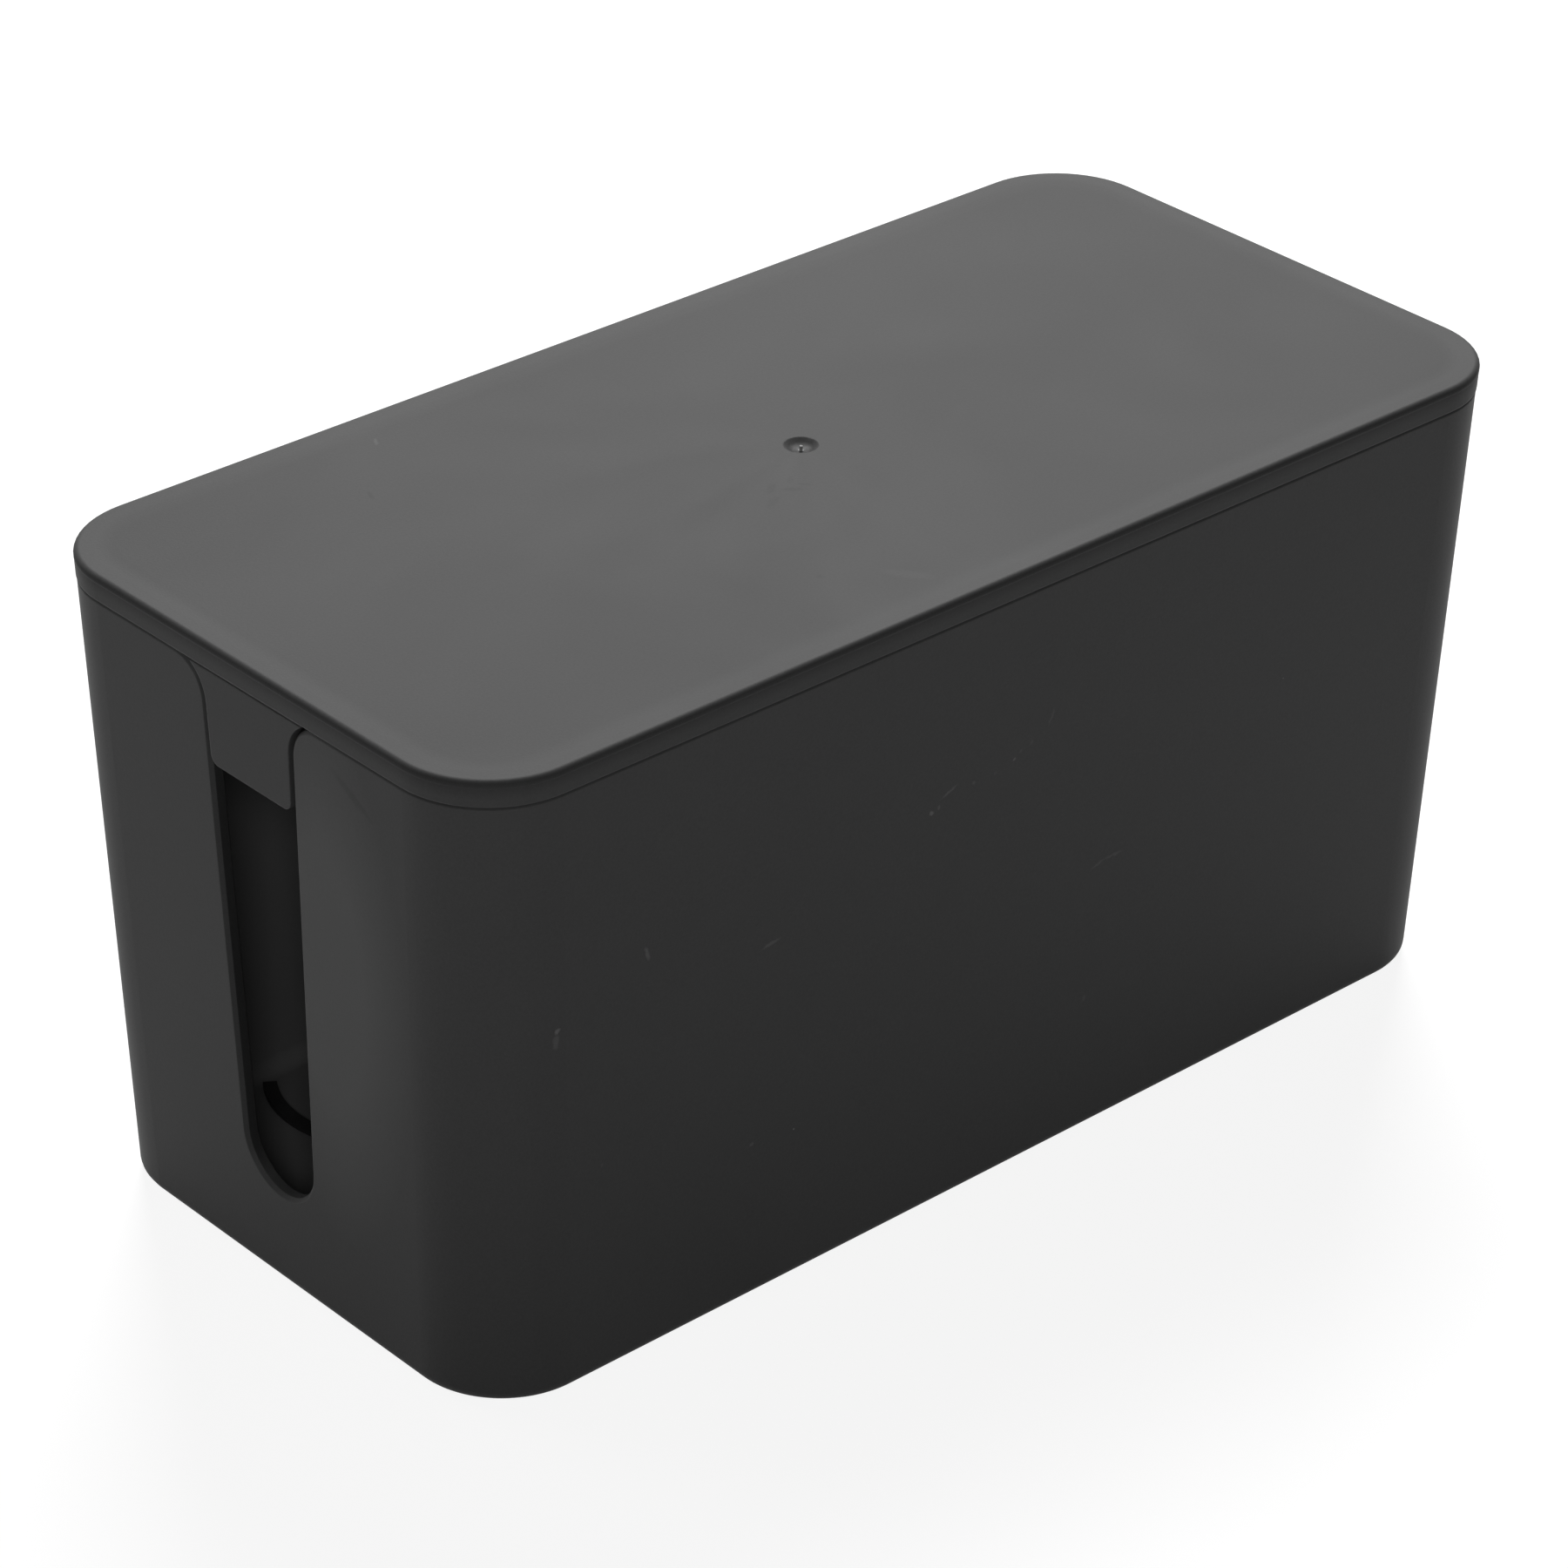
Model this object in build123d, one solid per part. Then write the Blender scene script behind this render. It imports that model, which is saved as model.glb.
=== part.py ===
from build123d import *
import math
import os

# Cable management box: a drafted tray with a U slot in each short end, a lift-off lid whose two
# tabs close the tops of the slots, and four arc-shaped rubber feet pressed through the floor.
# Millimetres, +Z up, +X along the box. The origin is under the middle of the box, where it rests.

# Overall
length = 235.0          # lid plate, along X
width = 114.5           # lid plate, along Y
body_height = 115.4     # tray underside to tray rim
lid_height = 4.6        # tray rim to lid top
foot_proud = 1.0        # how far the feet hold the tray off the table

# Tray
wall = 2.4              # side wall, square to the outside face
floor = 2.5             # floor thickness
wall_draft = 1.8        # each wall leans out by this much going up, degrees
corner = 17.4           # round run up each upright corner
base_round = 2.0        # edge round where the walls meet the underside
floor_round = 3.0       # inside round where the walls meet the floor
mouth_break = 0.65      # outer edge break that runs along the rim and down round both slots

# Cable slots
slot_radius = 8.85      # round lower end
slot_low = 18.6         # lowest point above the tray underside
slot_taper = 1.7        # each side leans out by this much going up, degrees
shoulder = 7.0          # convex corner between slot side and rim

# Lid
plate = 2.2             # top plate thickness
plate_lip = 1.2         # thickness of the plate edge that stands out past the skirt
plate_round = 1.0       # top edge round
lip_step = 0.2          # how far the plate edge stands out past the skirt
skirt_proud = 0.12      # how far the skirt stands out past the tray rim
rib = 1.6               # locating rib thickness
rib_depth = 4.0         # how far the locating rib reaches below the rim
rib_clear = 0.4         # gap between locating rib and tray wall
rib_lead = 0.5          # lead-in chamfer on the rib
rib_gap = 1.5           # the rib stops this far outside the slot shoulder

# Lid tabs
tab_drop = 17.7         # tab length below the rim
tab = 1.9               # tab thickness; its face is level with the skirt's
tab_clear = 0.6         # gap between tab and slot side
tab_corner = 1.8        # lower corner radius
tab_line = 0.5          # width of the line cut across the tab's root, just below the skirt
tab_line_depth = 0.35

# Gate mark in the middle of the lid
gate_radius = 3.1       # rim of the dimple
gate_depth = 1.0        # depth of the dimple
gate_stub = 0.3         # radius of the stub left by the gate
gate_stub_height = 0.8
gate_boss_radius = 4.6  # backing under the plate
gate_boss = 0.8         # how far the backing stands below the plate

# Feet
foot_end = 28.4         # middle of each foot from the short end of the underside
foot_side = 18.4        # middle of each foot from the long side of the underside
foot_arc = 22.0         # centre-line radius of a foot
foot_half = 33.0        # half the angle that a foot covers, degrees
foot_width = 6.6        # pad width
foot_recess = 0.8       # depth of the pad's seat in the underside
foot_clear = 0.1        # gap round pad and neck
foot_neck = 1.8         # neck through the floor
foot_head = 2.5         # retaining head above the floor
foot_head_height = 1.0

# Levels and sizes that follow
slope = math.tan(math.radians(wall_draft))
base_z = foot_proud
floor_z = base_z + floor
rim_z = base_z + body_height
top_z = rim_z + lid_height
ceiling_z = top_z - plate
lip_z = top_z - plate_lip
rim_inset = lip_step + skirt_proud
rim_length = length - 2 * rim_inset
rim_width = width - 2 * rim_inset
wall_across = wall / math.cos(math.radians(wall_draft))
foot_x = rim_length / 2 - body_height * slope - foot_end
foot_y = rim_width / 2 - body_height * slope - foot_side
over = 5.0              # how far cutting tools run past a face


def drafted(z_low, z_high, inset):
    """Block between two heights: drafted flat walls moved in by inset, then rounded upright corners."""
    spread = (z_high - rim_z) * slope - inset
    hang = (Align.CENTER, Align.CENTER, Align.MAX)
    block = Box(rim_length + 2 * spread, rim_width + 2 * spread, z_high - z_low, align=hang)
    block = Pos(0, 0, z_high) * block
    sides = block.faces().filter_by(Axis.Z, reverse=True)
    block = draft(sides, Plane.XY.offset(z_high), -wall_draft)
    upright = [edge for edge in block.edges() if abs(edge.tangent_at(0.5).Z) > 0.5]
    return fillet(upright, corner - inset)


def top_edges(solid):
    return solid.faces().sort_by(Axis.Z)[-1].edges()


def bottom_edges(solid):
    return solid.faces().sort_by(Axis.Z)[0].edges()


def slot_profile(gap, z_low, z_high):
    """Slot outline seen along X, moved in by gap; z_low None gives the round lower end."""
    lean = math.radians(slot_taper)
    radius = slot_radius - gap
    centre_z = base_z + slot_low + slot_radius
    bend_z = rim_z - shoulder
    bend_y = (shoulder + slot_radius + (bend_z - centre_z) * math.sin(lean)) / math.cos(lean)
    bend = shoulder + gap
    side_top = (bend_y - bend * math.cos(lean), bend_z + bend * math.sin(lean))
    half = math.radians(135) - lean / 2
    mid = (bend_y + bend * math.cos(half), bend_z + bend * math.sin(half))
    end = (bend_y, bend_z + bend)
    if z_low is None:
        side_low = (radius * math.cos(lean), centre_z - radius * math.sin(lean))
    else:
        side_low = ((radius + (z_low - centre_z) * math.sin(lean)) / math.cos(lean), z_low)

    def flip(point):
        return (-point[0], point[1])

    edges = [Line(side_low, side_top)]
    edges += [ThreePointArc(side_top, mid, end)]
    edges += [Polyline(end, (bend_y, z_high), (-bend_y, z_high), flip(end))]
    edges += [ThreePointArc(flip(end), flip(mid), flip(side_top))]
    edges += [Line(flip(side_top), flip(side_low))]
    if z_low is None:
        edges += [ThreePointArc(flip(side_low), (0, centre_z - radius), side_low)]
    else:
        edges += [Line(flip(side_low), side_low)]
    return make_face(edges), bend_y


def along_x(face, reach):
    """Prism of a face drawn in Y and Z, from x = -reach to x = reach."""
    return extrude(Plane.YZ * face, amount=reach, both=True)


def foot_strip(across, extra=0.0):
    """Square-ended arc strip, drawn about the arc's own centre and bowed towards +X."""
    outer = foot_arc + across / 2 + extra
    inner = foot_arc - across / 2 - extra
    half = math.radians(foot_half) + extra / foot_arc
    reach = 2 * outer
    wedge = Polygon((0, 0), (reach * math.cos(half), -reach * math.sin(half)),
                    (reach * math.cos(half), reach * math.sin(half)), align=None)
    return (Circle(outer) - Circle(inner)) & wedge


def foot_pad(extra=0.0):
    """Round-ended arc strip, drawn about the arc's own centre and bowed towards +X."""
    line = CenterArc((0, 0), foot_arc, -foot_half, 2 * foot_half)
    return SlotArc(line, foot_width + 2 * extra)


def at_foot(sketch, side_x, side_y, z):
    """Puts a foot sketch in its corner of the box, bowed towards the nearer short end."""
    turned = sketch if side_x > 0 else mirror(sketch, about=Plane.YZ)
    return Pos(side_x * (foot_x - foot_arc), side_y * foot_y, z) * turned


def make_foot(side_x, side_y):
    pad = extrude(at_foot(foot_pad(), side_x, side_y, 0), amount=base_z + foot_recess)
    neck_low = at_foot(foot_strip(foot_neck), side_x, side_y, base_z + foot_recess)
    neck = extrude(neck_low, amount=floor - foot_recess)
    head = extrude(at_foot(foot_strip(foot_head), side_x, side_y, floor_z), amount=foot_head_height)
    return pad + neck + head


def depth(point):
    """How far a point lies inside the drafted outside, measured level."""
    shrink = (rim_z - point.Z) * slope
    past_x = abs(point.X) - (rim_length / 2 - shrink - corner)
    past_y = abs(point.Y) - (rim_width / 2 - shrink - corner)
    return corner - math.hypot(max(past_x, 0), max(past_y, 0)) - min(max(past_x, past_y), 0)


def mouth_edges(body, bend_y):
    """Outer edges of the rim and of both slots, which run smoothly into each other."""
    found = []
    for edge in body.edges():
        mid = edge.position_at(0.5)
        on_rim = abs(mid.Z - rim_z) < 0.001
        in_slot = abs(mid.Y) < bend_y and mid.Z > base_z + slot_low / 2
        if depth(mid) < wall / 10 and (on_rim or in_slot):
            found.append(edge)
    return found


def make_body():
    shell = drafted(base_z, rim_z, 0)
    shell = fillet(bottom_edges(shell), base_round)
    cavity = drafted(floor_z, rim_z + over, wall_across)
    cavity = fillet(bottom_edges(cavity), floor_round)
    body = shell - cavity
    face, bend_y = slot_profile(0, None, rim_z + over)
    body -= along_x(face, length)
    body = chamfer(mouth_edges(body, bend_y), mouth_break)
    for side_x in (-1, 1):
        for side_y in (-1, 1):
            seat = at_foot(foot_pad(foot_clear), side_x, side_y, base_z - over)
            body -= extrude(seat, amount=over + foot_recess)
            hole = at_foot(foot_strip(foot_neck, foot_clear), side_x, side_y, base_z)
            body -= extrude(hole, amount=floor + over)
    return body


def make_tabs():
    """Both tabs: a skin that follows the end walls, trimmed to the slot outline less its gap."""
    face, _ = slot_profile(tab_clear, rim_z - tab_drop, rim_z + tab_clear + lid_height / 4)
    face = fillet(face.vertices().sort_by(Axis.Y)[:2], tab_corner)
    skin = drafted(rim_z - tab_drop - over, lip_z, -skirt_proud)
    skin -= drafted(rim_z - tab_drop - over, lip_z, tab - skirt_proud)
    skin -= drafted(rim_z - tab_line, rim_z, -over) - drafted(rim_z - tab_line, rim_z, tab_line_depth)
    return skin & along_x(face, length)


def make_rib():
    """Locating rib just inside the tray walls, left out across both slots."""
    outside = wall_across + rib_clear
    low = rim_z - rib_depth
    ring = drafted(low, ceiling_z, outside)
    ring = chamfer(bottom_edges(ring), rib_lead)
    ring -= drafted(low - over, ceiling_z + over, outside + rib)
    _, bend_y = slot_profile(0, None, rim_z + over)
    return ring - Pos(0, 0, rim_z) * Box(2 * length, 2 * (bend_y + rib_gap), 4 * (rib_depth + lid_height))


def make_lid():
    outline = RectangleRounded(length, width, corner + rim_inset)
    lid = extrude(Pos(0, 0, lip_z) * outline, amount=plate_lip)
    lid = fillet(top_edges(lid), plate_round)
    lid += drafted(rim_z, lip_z, -skirt_proud)
    lid -= drafted(rim_z - over, ceiling_z, wall_across)
    lid += make_rib()
    lid += make_tabs()
    lid += Pos(0, 0, ceiling_z - gate_boss) * extrude(Circle(gate_boss_radius), amount=gate_boss)
    ball = (gate_radius ** 2 + gate_depth ** 2) / (2 * gate_depth)
    lid -= Pos(0, 0, top_z - gate_depth + ball) * Sphere(ball)
    stub = extrude(Circle(gate_stub), amount=plate - gate_depth + gate_stub_height)
    return lid + Pos(0, 0, ceiling_z) * stub


os.makedirs("parts", exist_ok=True)
export_step(make_body(), "parts/box_body.step")
export_step(make_lid(), "parts/lid.step")
for name_x, side_x in (("left", -1), ("right", 1)):
    for name_y, side_y in (("front", -1), ("back", 1)):
        export_step(make_foot(side_x, side_y), f"parts/foot_{name_y}_{name_x}.step")
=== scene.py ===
import math

import bpy
from mathutils import Matrix, Vector


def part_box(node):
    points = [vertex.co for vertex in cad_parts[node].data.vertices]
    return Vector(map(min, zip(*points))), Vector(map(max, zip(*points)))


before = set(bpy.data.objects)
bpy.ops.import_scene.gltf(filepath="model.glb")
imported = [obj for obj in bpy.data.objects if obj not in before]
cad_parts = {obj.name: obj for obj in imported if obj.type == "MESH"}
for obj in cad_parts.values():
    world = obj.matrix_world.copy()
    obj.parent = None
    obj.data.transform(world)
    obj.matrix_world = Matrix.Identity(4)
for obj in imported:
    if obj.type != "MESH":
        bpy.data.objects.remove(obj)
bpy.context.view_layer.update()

# ---------------------------------------------------------------------------------------------
# The camera stands off the corner between the left end and the long front, above the lid, and
# looks down at the box through a long lens.
mm = 0.001
camera_turn = math.radians(-42.165)      # round the box, from square in front
camera_rise = math.radians(30.305)       # above level
camera_roll = math.radians(0.722)
camera_range = 1075.385 * mm
camera_aim = Vector((60.151, 69.628, 1.0)) * mm
camera_lens = 127.462
film_width = 36

backward = Vector((math.sin(camera_turn) * math.cos(camera_rise),
                   -math.cos(camera_turn) * math.cos(camera_rise),
                   math.sin(camera_rise)))
level_right = Vector((0, 0, 1)).cross(backward).normalized()
level_up = backward.cross(level_right)
film_right = math.cos(camera_roll) * level_right + math.sin(camera_roll) * level_up
film_up = backward.cross(film_right)

camera = bpy.data.objects.new("camera", bpy.data.cameras.new("camera"))
camera.data.lens = camera_lens
camera.data.sensor_width = film_width
camera.data.clip_start = 0.05
camera.data.clip_end = 50
film_axes = Matrix((film_right, film_up, backward)).transposed()
camera.matrix_world = Matrix.Translation(camera_aim + camera_range * backward) @ film_axes.to_4x4()
bpy.context.scene.collection.objects.link(camera)
bpy.context.scene.camera = camera
bpy.context.scene.view_settings.view_transform = "Standard"

# ---------------------------------------------------------------------------------------------
# The tray: one ABS moulding with drafted walls and a slot down each short end. It comes off a
# tool whose outside faces are spark eroded to a fine matt skin and whose core is left smoother.
middle_height = 60        # middle of the box above the table; lengths in the finishes are in mm


def linear(code):
    """Linear colour of an sRGB hex code."""
    parts = [int(code[i:i + 2], 16) / 255 for i in (1, 3, 5)]
    return [p / 12.92 if p <= 0.04045 else ((p + 0.055) / 1.055) ** 2.4 for p in parts] + [1.0]


def add(tree, kind, inputs=None, **settings):
    """Adds a node and returns its outputs. Settings are its own properties, and inputs are plain
    values or the sockets that they come from, by name or by number."""
    made = tree.nodes.new(kind)
    for name, value in settings.items():
        setattr(made, name, value)
    for name, value in (inputs or {}).items():
        if isinstance(value, bpy.types.NodeSocket):
            tree.links.new(value, made.inputs[name])
        else:
            made.inputs[name].default_value = value
    return made.outputs


def charcoal_abs(name, marks):
    """Charcoal ABS moulded against spark-eroded steel: a dull, even skin with a fine grain in it.

    The eye sees a soft dark grey that hardly shines, edges rubbed a little brighter, painted shade in
    the creases, a paler inside that is painted light, faint clouds where the melt ran, and a few light
    rubs and specks and dark smears; a mark can also be a patch of painted sheen.
    Returns the material, its shader and the place in mm, so that a piece can add what only it has.
    """
    material = bpy.data.materials.new(name)
    material.use_nodes = True
    tree = material.node_tree
    tree.nodes.clear()
    here = add(tree, "ShaderNodeTexCoord")
    place = add(tree, "ShaderNodeVectorMath", {0: here["Object"], "Scale": 1 / mm}, operation="SCALE")[0]
    surface = add(tree, "ShaderNodeNewGeometry")

    # A face is on the core side when it looks back at the middle of the box from far enough off.
    core_reach = 45.0
    outward = add(tree, "ShaderNodeVectorMath", {0: place, 1: (0, 0, middle_height)},
                  operation="SUBTRACT")[0]
    outward = add(tree, "ShaderNodeVectorMath", {0: outward, 1: here["Normal"]},
                  operation="DOT_PRODUCT")["Value"]
    core = add(tree, "ShaderNodeMath", {0: outward, 1: -core_reach}, operation="LESS_THAN")[0]

    # The eroded grain is about 0.15 mm from peak to peak, drawn coarser here so that it shows.
    grain_size = 0.45
    grain = add(tree, "ShaderNodeTexNoise", {"Vector": place, "Scale": 1 / grain_size, "Detail": 2.0,
                                             "Roughness": 0.6})[0]

    # Clouds of slightly different dullness, where the melt front slowed.
    cloud_size = 45
    cloud = add(tree, "ShaderNodeTexNoise", {"Vector": place, "Scale": 1 / cloud_size, "Detail": 3.0,
                                             "Roughness": 0.55, "Distortion": 0.6})[0]

    # An edge is where the normal of a small round leaves the surface's own.
    edge_round = 0.4
    edge_starts, edge_full = 0.985, 0.85      # cosine of the angle between the two normals
    rounded = add(tree, "ShaderNodeBevel", {"Radius": edge_round * mm}, samples=6)[0]
    agree = add(tree, "ShaderNodeVectorMath", {0: rounded, 1: surface["Normal"]},
                operation="DOT_PRODUCT")["Value"]
    edge = add(tree, "ShaderNodeMapRange", {"Value": agree, "From Min": edge_starts,
                                            "From Max": edge_full})[0]

    # A crease is where other faces stand close by; there colour and gloss are darkened as painted shade.
    crease_reach = 1.2
    crease_deep, crease_open = 0.45, 0.9      # share of open air deep in it and clear of it
    crease_painted_shade = 0.8
    open_air = add(tree, "ShaderNodeAmbientOcclusion", {"Distance": crease_reach * mm}, samples=6)["AO"]
    left = add(tree, "ShaderNodeMapRange", {"Value": open_air, "From Min": crease_deep,
                                            "From Max": crease_open, "To Min": crease_painted_shade})[0]

    # Marks: ovals, each with its middle, turn in degrees and half sizes in mm, and its strength:
    # above 0 it is a light rub or a patch of painted sheen, below 0 a dark smear. A noise makes their
    # outlines ragged.
    ragged_by = 0.9
    mark_edge, mark_full = 1.1, 0.5           # in half sizes
    wander = add(tree, "ShaderNodeTexNoise", {"Vector": place, "Scale": 1 / ragged_by,
                                              "Detail": 3.0})["Color"]
    ragged = add(tree, "ShaderNodeVectorMath", {0: wander, 1: (ragged_by,) * 3, 2: place},
                 operation="MULTIPLY_ADD")[0]
    rubs_and_sheen = 0.0
    for middle, turn, half, strength in marks:
        own = add(tree, "ShaderNodeMapping", {"Vector": ragged, "Scale": half,
                                              "Location": [c + ragged_by / 2 for c in middle],
                                              "Rotation": [math.radians(a) for a in turn]},
                  vector_type="TEXTURE")[0]
        far = add(tree, "ShaderNodeVectorMath", {0: own}, operation="LENGTH")["Value"]
        one = add(tree, "ShaderNodeMapRange", {"Value": far, "From Min": mark_edge,
                                               "From Max": mark_full, "To Max": abs(strength)})[0]
        if strength > 0:
            rubs_and_sheen = add(tree, "ShaderNodeMath", {0: rubs_and_sheen, 1: one}, operation="MAXIMUM")[0]
        else:
            one = add(tree, "ShaderNodeMath", {0: 1.0, 1: one}, operation="SUBTRACT")[0]
            left = add(tree, "ShaderNodeMath", {0: left, 1: one}, operation="MULTIPLY")[0]

    # Specks of dust and small nicks, one in some of the cells of a coarse lattice.
    speck_lattice = 16
    speck_edge, speck_full = 0.224, 0.096     # from the speck's middle
    speck_share = 1 / 8
    cells = add(tree, "ShaderNodeTexVoronoi", {"Vector": place, "Scale": 1 / speck_lattice})
    near = add(tree, "ShaderNodeMapRange", {"Value": cells["Distance"],
                                            "From Min": speck_edge / speck_lattice,
                                            "From Max": speck_full / speck_lattice})[0]
    pick = add(tree, "ShaderNodeSeparateColor", {"Color": cells["Color"]})["Red"]
    chosen = add(tree, "ShaderNodeMath", {0: pick, 1: 1 - speck_share}, operation="GREATER_THAN")[0]
    speck = add(tree, "ShaderNodeMath", {0: near, 1: chosen}, operation="MULTIPLY")[0]
    light = add(tree, "ShaderNodeMath", {0: speck, 1: rubs_and_sheen}, operation="MAXIMUM")[0]

    # Colour: charcoal moved by the clouds and the grain, painted paler on the core side as painted light
    # on the inside faces, then greyed on edges, rubs, patches of painted sheen and specks.
    cloud_tone, grain_tone, core_painted_light = 0.16, 0.22, 1.0
    level_tone = 1 - (cloud_tone + grain_tone) / 2
    edge_grey = 0.22
    skin_gloss = 0.045
    tone = add(tree, "ShaderNodeMath", {0: cloud, 1: cloud_tone, 2: level_tone},
               operation="MULTIPLY_ADD")[0]
    tone = add(tree, "ShaderNodeMath", {0: grain, 1: grain_tone, 2: tone}, operation="MULTIPLY_ADD")[0]
    tone = add(tree, "ShaderNodeMath", {0: core, 1: core_painted_light, 2: tone}, operation="MULTIPLY_ADD")[0]
    plain = add(tree, "ShaderNodeVectorMath", {0: linear("#454545")[:3], "Scale": tone},
                operation="SCALE")[0]
    faint_edge = add(tree, "ShaderNodeMath", {0: edge, 1: edge_grey}, operation="MULTIPLY")[0]
    greyed = add(tree, "ShaderNodeMath", {0: light, 1: faint_edge}, operation="MAXIMUM")[0]
    worn = add(tree, "ShaderNodeMix", {0: greyed, 6: plain, 7: linear("#747474")},
               data_type="RGBA")[2]
    # The painted shade of the creases and the dark smears darken the colour and the gloss here.
    colour = add(tree, "ShaderNodeVectorMath", {0: worn, "Scale": left}, operation="SCALE")[0]
    gloss = add(tree, "ShaderNodeMath", {0: left, 1: skin_gloss}, operation="MULTIPLY")[0]

    # Dullness: even on the skin, smoother on the core side and on rubbed edges.
    skin_dull, cloud_dull, core_dull, edge_dull = 0.48, 0.12, -0.08, -0.08
    dull = add(tree, "ShaderNodeMath", {0: cloud, 1: cloud_dull, 2: skin_dull},
               operation="MULTIPLY_ADD")[0]
    dull = add(tree, "ShaderNodeMath", {0: core, 1: core_dull, 2: dull}, operation="MULTIPLY_ADD")[0]
    dull = add(tree, "ShaderNodeMath", {0: edge, 1: edge_dull, 2: dull}, operation="MULTIPLY_ADD")[0]

    # Relief: the grain, fainter on the core side, with rubs cut a little into it.
    skin_depth, core_depth, rub_depth = 0.018, 0.006, 0.02
    depth = add(tree, "ShaderNodeMath", {0: core, 1: core_depth - skin_depth, 2: skin_depth},
                operation="MULTIPLY_ADD")[0]
    relief = add(tree, "ShaderNodeMath", {0: grain, 1: depth}, operation="MULTIPLY")[0]
    relief = add(tree, "ShaderNodeMath", {0: light, 1: -rub_depth, 2: relief},
                 operation="MULTIPLY_ADD")[0]
    normal = add(tree, "ShaderNodeBump", {"Height": relief, "Distance": 1 * mm, "Normal": rounded})[0]

    shader = add(tree, "ShaderNodeBsdfPrincipled", {"Base Color": colour, "Roughness": dull, "IOR": 1.53,
                                                    "Specular IOR Level": gloss, "Normal": normal})[0]
    add(tree, "ShaderNodeOutputMaterial", {"Surface": shader})
    return material, shader.node, place


def dress(node, material):
    """Gives every material slot of a piece the same material."""
    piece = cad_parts[node]
    for slot in piece.material_slots:
        slot.material = material


# Nicks and rubs on the long front, then, beside the near slot, one smear and a broad pale patch of
# painted sheen.
tray_marks = [
    ((-17.0, -55.9, 84.6), (0, -22, 0), (2.0, 3, 0.30), 0.30),
    ((-20.8, -55.8, 81.9), (0, 0, 0), (0.50, 3, 0.50), 0.50),
    ((-19.2, -55.9, 82.5), (0, 0, 0), (0.40, 3, 0.40), 0.25),
    ((-11.4, -55.9, 84.1), (0, 0, 0), (0.45, 3, 0.45), 0.22),
    ((-6.5, -55.9, 84.2), (0, 0, 0), (0.40, 3, 0.40), 0.10),
    ((-2.3, -55.9, 85.2), (0, 0, 0), (0.40, 3, 0.40), 0.42),
    ((-0.9, -56.0, 86.2), (0, 0, 0), (0.40, 3, 0.40), 0.14),
    ((1.4, -56.0, 87.0), (0, 0, 0), (0.50, 3, 0.50), 0.14),
    ((5.8, -56.1, 90.2), (0, -67, 0), (1.8, 3, 0.35), 0.16),
    ((19.6, -55.0, 56.0), (0, -16, 0), (1.9, 3, 0.30), 0.20),
    ((23.3, -55.0, 56.4), (0, 1, 0), (2.2, 3, 0.30), 0.20),
    ((-82.0, -55.8, 79.9), (0, 72, 0), (1.6, 3, 0.45), 0.35),
    ((-55.5, -55.5, 70.8), (0, -8, 0), (2.0, 3, 0.40), 0.28),
    ((-100.2, -55.6, 72.9), (0, 0, 0), (0.60, 3, 0.60), 0.60),
    ((-100.4, -55.5, 70.9), (0, 96, 0), (1.6, 3, 0.60), 0.25),
    ((18.4, -54.2, 29.0), (0, 79, 0), (0.9, 3, 0.40), 0.15),
    ((-58.3, -54.3, 32.5), (0, 0, 0), (0.45, 3, 0.45), 0.28),
    ((-90.6, -54.6, 43.0), (0, 0, 0), (0.35, 3, 0.35), 0.12),
    ((-116.9, -26.7, 109.0), (29, 0, 0), (3, 6.2, 0.9), -0.13),
    # A broad patch of painted sheen beside the near slot.
    ((-116.0, -17.0, 70.0), (0, 0, 0), (4, 19, 52), 0.26),
]
tray_finish, tray_shader, tray_place = charcoal_abs("charcoal_abs_tray", tray_marks)
dress("box_body", tray_finish)

# The faces down both sides of each slot, where two halves of the tool close on each other, carry painted
# shade: they are drawn darker than the skin, as shade falls there inside the slot. They are the faces
# near the slot that look along the box's width.
end_from = 108.0          # out from the middle of the box
slot_reach = 16.0         # to either side of the slot's middle
sideways_starts, sideways_full = 0.5, 0.9
slot_side_painted_shade = 0.55
tree = tray_finish.node_tree
facing = add(tree, "ShaderNodeSeparateXYZ", {0: add(tree, "ShaderNodeTexCoord")["Normal"]})["Y"]
facing = add(tree, "ShaderNodeMath", {0: facing}, operation="ABSOLUTE")[0]
facing = add(tree, "ShaderNodeMapRange", {"Value": facing, "From Min": sideways_starts,
                                          "From Max": sideways_full})[0]
folded = add(tree, "ShaderNodeVectorMath", {0: tray_place}, operation="ABSOLUTE")[0]
folded = add(tree, "ShaderNodeSeparateXYZ", {0: folded})
at_end = add(tree, "ShaderNodeMath", {0: folded["X"], 1: end_from}, operation="GREATER_THAN")[0]
by_slot = add(tree, "ShaderNodeMath", {0: folded["Y"], 1: slot_reach}, operation="LESS_THAN")[0]
slot_side_shade_mask = add(tree, "ShaderNodeMath", {0: at_end, 1: by_slot}, operation="MULTIPLY")[0]
slot_side_shade_mask = add(tree, "ShaderNodeMath", {0: slot_side_shade_mask, 1: facing}, operation="MULTIPLY")[0]
shade = add(tree, "ShaderNodeMath", {0: slot_side_shade_mask, 1: -slot_side_painted_shade, 2: 1.0},
            operation="MULTIPLY_ADD")[0]
colour = tray_shader.inputs["Base Color"].links[0].from_socket
colour = add(tree, "ShaderNodeVectorMath", {0: colour, "Scale": shade}, operation="SCALE")[0]
tree.links.new(colour, tray_shader.inputs["Base Color"])

# ---------------------------------------------------------------------------------------------
# The lid: one ABS moulding in the same charcoal, gated in the middle of its top, that rests on
# the tray's rim. It is held by nothing and lifts straight off.
lid_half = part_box("lid")[1] / mm
lid_top = lid_half.z
lid_corner = 17.72        # round of its corners, seen from above

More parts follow.
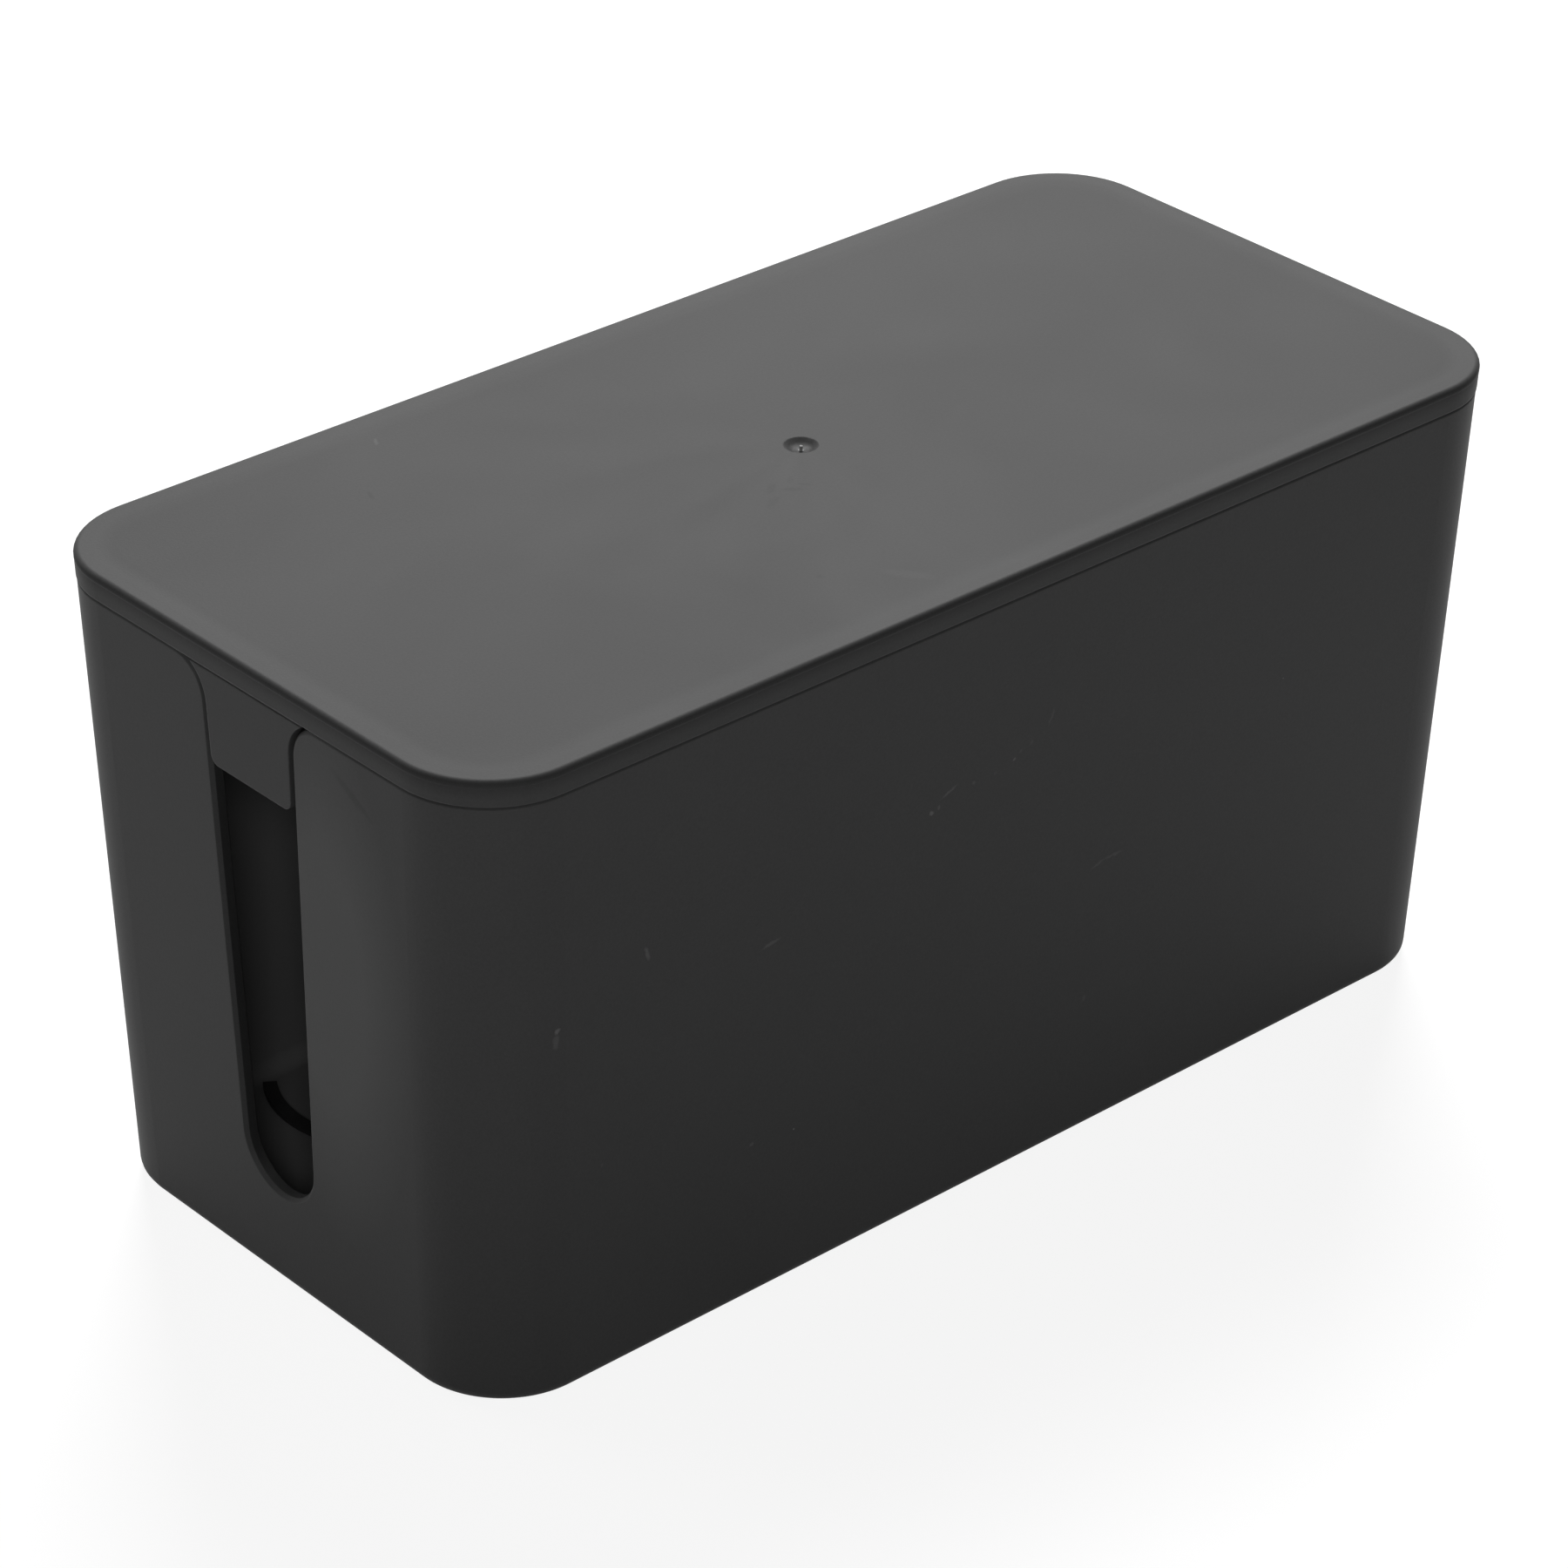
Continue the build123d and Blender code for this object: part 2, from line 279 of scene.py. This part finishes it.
# Two rubs, and small smears, most of them left of the gate and towards the front.
lid_marks = [
    ((-53.6, 47.4, lid_top), (0, 0, 61), (1.4, 0.30, 3), 0.22),
    ((-66.4, 32.6, lid_top), (0, 0, 71), (1.6, 0.45, 3), -0.10),
    ((-14.5, -8.8, lid_top), (0, 0, 40), (2.4, 0.9, 3), -0.07),
    ((-12.0, -11.2, lid_top), (0, 0, -35), (2.2, 0.8, 3), -0.08),
    ((-9.1, -11.3, lid_top), (0, 0, -50), (1.6, 0.5, 3), -0.06),
    ((-17.6, -12.6, lid_top), (0, 0, 30), (2.6, 1.0, 3), -0.06),
    ((-10.0, -8.4, lid_top), (0, 0, 45), (1.5, 0.6, 3), -0.06),
    ((-29.1, -37.0, lid_top), (0, 0, 0), (0.8, 0.8, 3), -0.07),
    ((-17.7, -45.6, lid_top), (0, 0, -55), (4.8, 1.40, 3), 0.06),
]
lid_finish, lid_shader, lid_place = charcoal_abs("charcoal_abs_lid", lid_marks)
dress("lid", lid_finish)

# The locating rib below the top has drawn the skin down in a faint band a few mm in from the edge.
band_inset = 5.2
band_half = 2.2
tree = lid_finish.node_tree
flat_place = add(tree, "ShaderNodeVectorMath", {0: lid_place, 1: (1, 1, 0)}, operation="MULTIPLY")[0]
folded = add(tree, "ShaderNodeVectorMath", {0: flat_place}, operation="ABSOLUTE")[0]
corner_middle = (lid_half.x - lid_corner, lid_half.y - lid_corner, 0)
past = add(tree, "ShaderNodeVectorMath", {0: folded, 1: corner_middle}, operation="SUBTRACT")[0]
outer = add(tree, "ShaderNodeVectorMath", {0: past, 1: (0, 0, 0)}, operation="MAXIMUM")[0]
outer = add(tree, "ShaderNodeVectorMath", {0: outer}, operation="LENGTH")["Value"]
sides = add(tree, "ShaderNodeSeparateXYZ", {0: past})
inner = add(tree, "ShaderNodeMath", {0: sides["X"], 1: sides["Y"]}, operation="MAXIMUM")[0]
inner = add(tree, "ShaderNodeMath", {0: inner, 1: 0.0}, operation="MINIMUM")[0]
edge_gap = add(tree, "ShaderNodeMath", {0: outer, 1: inner}, operation="ADD")[0]
from_band = add(tree, "ShaderNodeMath", {0: edge_gap, 1: lid_corner - band_inset},
                operation="SUBTRACT")[0]
off_band = add(tree, "ShaderNodeMath", {0: from_band}, operation="ABSOLUTE")[0]
band = add(tree, "ShaderNodeMapRange", {"Value": off_band, "From Min": band_half, "From Max": 0.0},
           interpolation_type="SMOOTHSTEP")[0]
border = add(tree, "ShaderNodeMapRange", {"Value": from_band, "From Max": band_half},
             interpolation_type="SMOOTHSTEP")[0]

# From the gate the melt ran outwards in streaks, which fade with the distance and show most on the
# left. They are drawn by a noise over the direction from the gate, which changes slowly with the
# distance.
streaks_end, streaks_full = 80.0, 20.0
streak_length = 70
streak_circle = 2.2       # radius, in cells of the noise, of the circle that the direction runs on
right_from, right_share = 1.0, 0.25
gate_far = add(tree, "ShaderNodeVectorMath", {0: flat_place}, operation="LENGTH")["Value"]
gate_near = add(tree, "ShaderNodeMapRange", {"Value": gate_far, "From Min": streaks_end,
                                             "From Max": streaks_full},
                interpolation_type="SMOOTHSTEP")[0]
course = add(tree, "ShaderNodeVectorMath", {0: flat_place}, operation="NORMALIZE")[0]
run_out = add(tree, "ShaderNodeCombineXYZ", {"Z": gate_far})[0]
run_out = add(tree, "ShaderNodeVectorMath", {0: run_out, "Scale": 1 / streak_length},
              operation="SCALE")[0]
course = add(tree, "ShaderNodeVectorMath", {0: course, 1: (streak_circle, streak_circle, 0),
                                            2: run_out}, operation="MULTIPLY_ADD")[0]
flow = add(tree, "ShaderNodeTexNoise", {"Vector": course, "Scale": 1.0, "Detail": 2.0,
                                        "Roughness": 0.6, "Distortion": 0.5})[0]
flow = add(tree, "ShaderNodeMath", {0: flow, 1: 0.5}, operation="SUBTRACT")[0]
flow = add(tree, "ShaderNodeMath", {0: flow, 1: gate_near}, operation="MULTIPLY")[0]
lean = add(tree, "ShaderNodeSeparateXYZ", {0: course})["X"]
lean = add(tree, "ShaderNodeMapRange", {"Value": lean, "From Min": right_from,
                                        "From Max": -streak_circle, "To Min": right_share})[0]
flow = add(tree, "ShaderNodeMath", {0: flow, 1: lean}, operation="MULTIPLY")[0]

# Outside the band the top is painted a little lighter, a painted sheen, and down the side painted shade
# darkens it towards its top edge.
top_starts = lid_top - 0.5
side_low, side_high = lid_top - 3.4, lid_top - 0.8
under_edge_painted_shade = 0.70
border_painted_sheen, streak_light = 0.15, 0.12
up = add(tree, "ShaderNodeSeparateXYZ", {0: lid_place})["Z"]
on_top = add(tree, "ShaderNodeMapRange", {"Value": up, "From Min": top_starts, "From Max": lid_top})[0]
rise = add(tree, "ShaderNodeMapRange", {"Value": up, "From Min": side_low, "From Max": side_high,
                                        "To Min": 1.0, "To Max": under_edge_painted_shade})[0]
lid_tone_and_painted_light = add(tree, "ShaderNodeMath", {0: border, 1: border_painted_sheen, 2: 1.0}, operation="MULTIPLY_ADD")[0]
lid_tone_and_painted_light = add(tree, "ShaderNodeMath", {0: flow, 1: streak_light, 2: lid_tone_and_painted_light}, operation="MULTIPLY_ADD")[0]
lid_tone_and_painted_light = add(tree, "ShaderNodeMix", {0: on_top, 2: rise, 3: lid_tone_and_painted_light})[0]

# The gate's dimple is formed by a polished pin, so it shines a little, and it is painted darker as shade
# in the recess. In its middle the gate was snapped off, which left the stub paler.
outside_low = lid_top - 1.5           # no face of the lid's inside is this high
dimple_edge, dimple_full = 3.2, 2.9   # from the gate's middle
stub_edge, stub_full = 0.6, 0.35
dimple_painted_shade = 0.32
dimple_gloss = 0.055
above = add(tree, "ShaderNodeMath", {0: up, 1: outside_low}, operation="GREATER_THAN")[0]
dimple = add(tree, "ShaderNodeMapRange", {"Value": gate_far, "From Min": dimple_edge,
                                          "From Max": dimple_full})[0]
dimple = add(tree, "ShaderNodeMath", {0: dimple, 1: above}, operation="MULTIPLY")[0]
lid_tone_and_painted_light = add(tree, "ShaderNodeMath", {0: dimple, 1: -dimple_painted_shade, 2: lid_tone_and_painted_light},
             operation="MULTIPLY_ADD")[0]
snapped = add(tree, "ShaderNodeMapRange", {"Value": gate_far, "From Min": stub_edge,
                                           "From Max": stub_full})[0]
snapped = add(tree, "ShaderNodeMath", {0: snapped, 1: above}, operation="MULTIPLY")[0]

# The floor of the line cut across each tab's root is painted paler, painted light that lifts the shade
# in the line.
line_height = lid_top - 4.85
line_half = 0.3
tab_reach = 20.0          # to either side of the tab's middle
line_painted_light = 0.7
tab_line_painted_light = add(tree, "ShaderNodeMath", {0: up, 1: line_height, 2: line_half}, operation="COMPARE")[0]
across = add(tree, "ShaderNodeSeparateXYZ", {0: folded})["Y"]
on_tab = add(tree, "ShaderNodeMath", {0: across, 1: tab_reach}, operation="LESS_THAN")[0]
tab_line_painted_light = add(tree, "ShaderNodeMath", {0: tab_line_painted_light, 1: on_tab}, operation="MULTIPLY")[0]
lid_tone_and_painted_light = add(tree, "ShaderNodeMath", {0: tab_line_painted_light, 1: line_painted_light, 2: lid_tone_and_painted_light},
             operation="MULTIPLY_ADD")[0]

# What each of these adds to the roughness, and how far the band lies below the skin.
more_dull = ((band, -0.02), (border, 0.02), (flow, 0.12), (dimple, -0.12))
more_height = ((band, -0.03),)
bump = lid_shader.inputs["Normal"].links[0].from_node
for taker, name, parts in ((lid_shader, "Roughness", more_dull), (bump, "Height", more_height)):
    value = taker.inputs[name].links[0].from_socket
    for part, share in parts:
        value = add(tree, "ShaderNodeMath", {0: part, 1: share, 2: value}, operation="MULTIPLY_ADD")[0]
    tree.links.new(value, taker.inputs[name])
colour = lid_shader.inputs["Base Color"].links[0].from_socket
colour = add(tree, "ShaderNodeVectorMath", {0: colour, "Scale": lid_tone_and_painted_light}, operation="SCALE")[0]
colour = add(tree, "ShaderNodeMix", {0: snapped, 6: colour, 7: linear("#8f8f8f")}, data_type="RGBA")[2]
tree.links.new(colour, lid_shader.inputs["Base Color"])
gloss = lid_shader.inputs["Specular IOR Level"].links[0].from_socket
gloss = add(tree, "ShaderNodeMath", {0: gloss, 1: lid_tone_and_painted_light}, operation="MULTIPLY")[0]
gloss = add(tree, "ShaderNodeMath", {0: dimple, 1: dimple_gloss, 2: gloss}, operation="MULTIPLY_ADD")[0]
tree.links.new(gloss, lid_shader.inputs["Specular IOR Level"])

# ---------------------------------------------------------------------------------------------
# The feet: four soft black rubber mouldings, each pressed up through the floor of the tray. The
# rubber is dull all over, with a slight bloom that greys it in places.
bloom_size = 6
rubber_grain = 0.5
rubber_dull, bloom_dull = 0.70, 0.15
rubber_depth = 0.02
rubber = bpy.data.materials.new("black_rubber")
rubber.use_nodes = True
tree = rubber.node_tree
tree.nodes.clear()
here = add(tree, "ShaderNodeTexCoord")
place = add(tree, "ShaderNodeVectorMath", {0: here["Object"], "Scale": 1 / mm}, operation="SCALE")[0]
bloom = add(tree, "ShaderNodeTexNoise", {"Vector": place, "Scale": 1 / bloom_size, "Detail": 3.0})[0]
fine = add(tree, "ShaderNodeTexNoise", {"Vector": place, "Scale": 1 / rubber_grain, "Detail": 2.0})[0]
colour = add(tree, "ShaderNodeMix", {0: bloom, 6: linear("#121212"), 7: linear("#1c1c1c")},
             data_type="RGBA")[2]
dull = add(tree, "ShaderNodeMath", {0: bloom, 1: bloom_dull, 2: rubber_dull},
           operation="MULTIPLY_ADD")[0]
relief = add(tree, "ShaderNodeMath", {0: fine, 1: rubber_depth}, operation="MULTIPLY")[0]
normal = add(tree, "ShaderNodeBump", {"Height": relief, "Distance": 1 * mm})[0]
shader = add(tree, "ShaderNodeBsdfPrincipled", {"Base Color": colour, "Roughness": dull, "IOR": 1.52,
                                                "Specular IOR Level": 0.4, "Normal": normal})[0]
add(tree, "ShaderNodeOutputMaterial", {"Surface": shader})
for corner in ("front_left", "front_right", "back_left", "back_right"):
    dress("foot_" + corner, rubber)


# ---------------------------------------------------------------------------------------------
# The studio: a plain pale floor, a big softbox behind, a weak one to the left and a small fill in
# front, low enough to reach in through the near slot.
def seen_itself(tree):
    """1 for rays that look at the setting: from the camera, in gloss and through glass."""
    path = add(tree, "ShaderNodeLightPath")
    seen = add(tree, "ShaderNodeMath", {0: path["Is Camera Ray"], 1: path["Is Glossy Ray"]},
               operation="MAXIMUM")[0]
    return add(tree, "ShaderNodeMath", {0: seen, 1: path["Is Transmission Ray"]}, operation="MAXIMUM")[0]


floor_glow = 0.87         # most of the floor's white; the lamps add the rest, except in its shadow
floor_half = 3.0          # metres
floor_mesh = bpy.data.meshes.new("floor")
floor_mesh.from_pydata([(-floor_half, -floor_half, 0), (floor_half, -floor_half, 0),
                        (floor_half, floor_half, 0), (-floor_half, floor_half, 0)], [], [(0, 1, 2, 3)])
floor = bpy.data.objects.new("floor", floor_mesh)
bpy.context.scene.collection.objects.link(floor)
paper = bpy.data.materials.new("pale_paper")
paper.use_nodes = True
tree = paper.node_tree
tree.nodes.clear()
white_paper = add(tree, "ShaderNodeBsdfDiffuse", {"Color": linear("#e8e8e8")})[0]
shaded = add(tree, "ShaderNodeBsdfDiffuse", {"Color": linear("#8c8c8c")})[0]
own_light = add(tree, "ShaderNodeEmission", {"Color": (1, 1, 1, 1), "Strength": floor_glow})[0]
pale = add(tree, "ShaderNodeAddShader", {0: shaded, 1: own_light})[0]
both = add(tree, "ShaderNodeMixShader", {0: seen_itself(tree), 1: white_paper, 2: pale})[0]
add(tree, "ShaderNodeOutputMaterial", {"Surface": both})
floor_mesh.materials.append(paper)

room_level = 0.02         # light of the room itself, where white is 1
world = bpy.data.worlds.new("studio")
world.use_nodes = True
tree = world.node_tree
tree.nodes.clear()
level = add(tree, "ShaderNodeMapRange", {"Value": seen_itself(tree), "To Min": room_level})[0]
air = add(tree, "ShaderNodeBackground", {"Color": (1, 1, 1, 1), "Strength": level})[0]
add(tree, "ShaderNodeOutputWorld", {"Surface": air})
bpy.context.scene.world = world

lamp_range = 1.5          # metres from the middle of the box
box_middle = Vector((0, 0, middle_height)) * mm
for name, turn, rise, side, watts in (      # degrees round from the right end and up from level
        ("back_softbox", 48, 45, 0.8, 30.5),
        ("left_softbox", 115, 20, 0.8, 2.8),
        ("front_fill", 228, 30, 0.25, 4.2)):
    lamp = bpy.data.lights.new(name, "AREA")
    lamp.size = side
    lamp.energy = watts
    turn, rise = math.radians(turn), math.radians(rise)
    away = Vector((math.cos(turn) * math.cos(rise), math.sin(turn) * math.cos(rise), math.sin(rise)))
    stand = bpy.data.objects.new(name, lamp)
    stand.location = box_middle + lamp_range * away
    stand.rotation_euler = (-away).to_track_quat("-Z", "Y").to_euler()
    bpy.context.scene.collection.objects.link(stand)
